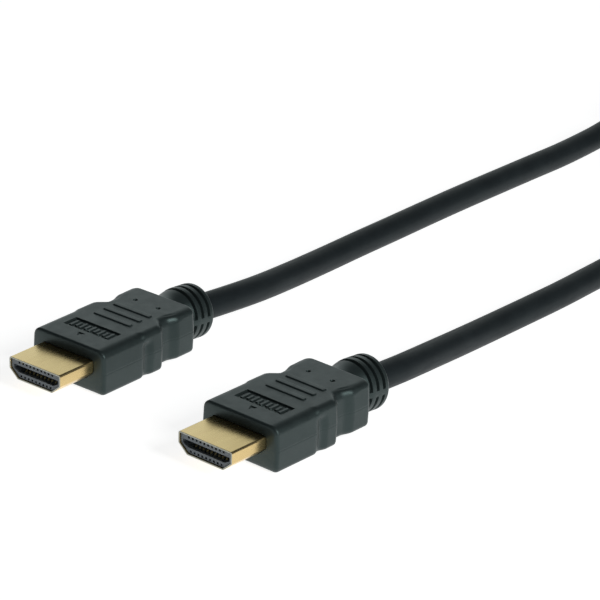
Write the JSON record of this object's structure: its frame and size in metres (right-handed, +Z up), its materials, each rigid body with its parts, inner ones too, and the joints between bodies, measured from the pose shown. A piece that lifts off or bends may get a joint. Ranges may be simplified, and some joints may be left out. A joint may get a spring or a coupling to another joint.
{
  "type": "hdmi cable",
  "caption": "Black round audio-video cable with a gold-plated type A plug in a ringed moulded grip on each end, its spare length coiled and strapped.",
  "frame": {"origin": "on the floor, under the middle of the box round both plugs", "axes": "+Z up from the floor; -Y the way the plugs' mouths face; +X from plug_a towards plug_b"},
  "size_m": [0.0856, 0.2905, 0.0139],
  "materials": {
    "grip_black": "satin black PVC overmould with a fine moulded texture",
    "cable_sheath": "smooth satin black PVC sheath",
    "shell_gold": "bright pale gold plating on sheet metal",
    "insulator_resin": "matt dark grey moulded resin",
    "contact_gold": "gold-plated spring strip",
    "strap_webbing": "woven hook-and-loop strap"
  },
  "bodies": {
    "root": {"plug_a_grip": "grip_black", "plug_a_shell": "shell_gold", "plug_a_insulator": "insulator_resin", "plug_a_contact_01": "contact_gold", "plug_a_contact_02": "contact_gold", "plug_a_contact_03": "contact_gold", "plug_a_contact_04": "contact_gold", "plug_a_contact_05": "contact_gold", "plug_a_contact_06": "contact_gold", "plug_a_contact_07": "contact_gold", "plug_a_contact_08": "contact_gold", "plug_a_contact_09": "contact_gold", "plug_a_contact_10": "contact_gold", "plug_a_contact_11": "contact_gold", "plug_a_contact_12": "contact_gold", "plug_a_contact_13": "contact_gold", "plug_a_contact_14": "contact_gold", "plug_a_contact_15": "contact_gold", "plug_a_contact_16": "contact_gold", "plug_a_contact_17": "contact_gold", "plug_a_contact_18": "contact_gold", "plug_a_contact_19": "contact_gold", "plug_b_grip": "grip_black", "plug_b_shell": "shell_gold", "plug_b_insulator": "insulator_resin", "plug_b_contact_01": "contact_gold", "plug_b_contact_02": "contact_gold", "plug_b_contact_03": "contact_gold", "plug_b_contact_04": "contact_gold", "plug_b_contact_05": "contact_gold", "plug_b_contact_06": "contact_gold", "plug_b_contact_07": "contact_gold", "plug_b_contact_08": "contact_gold", "plug_b_contact_09": "contact_gold", "plug_b_contact_10": "contact_gold", "plug_b_contact_11": "contact_gold", "plug_b_contact_12": "contact_gold", "plug_b_contact_13": "contact_gold", "plug_b_contact_14": "contact_gold", "plug_b_contact_15": "contact_gold", "plug_b_contact_16": "contact_gold", "plug_b_contact_17": "contact_gold", "plug_b_contact_18": "contact_gold", "plug_b_contact_19": "contact_gold", "cable_run_a": "cable_sheath", "cable_run_b": "cable_sheath", "cable_coil": "cable_sheath", "coil_tie": "strap_webbing"}
  },
  "joints": []
}
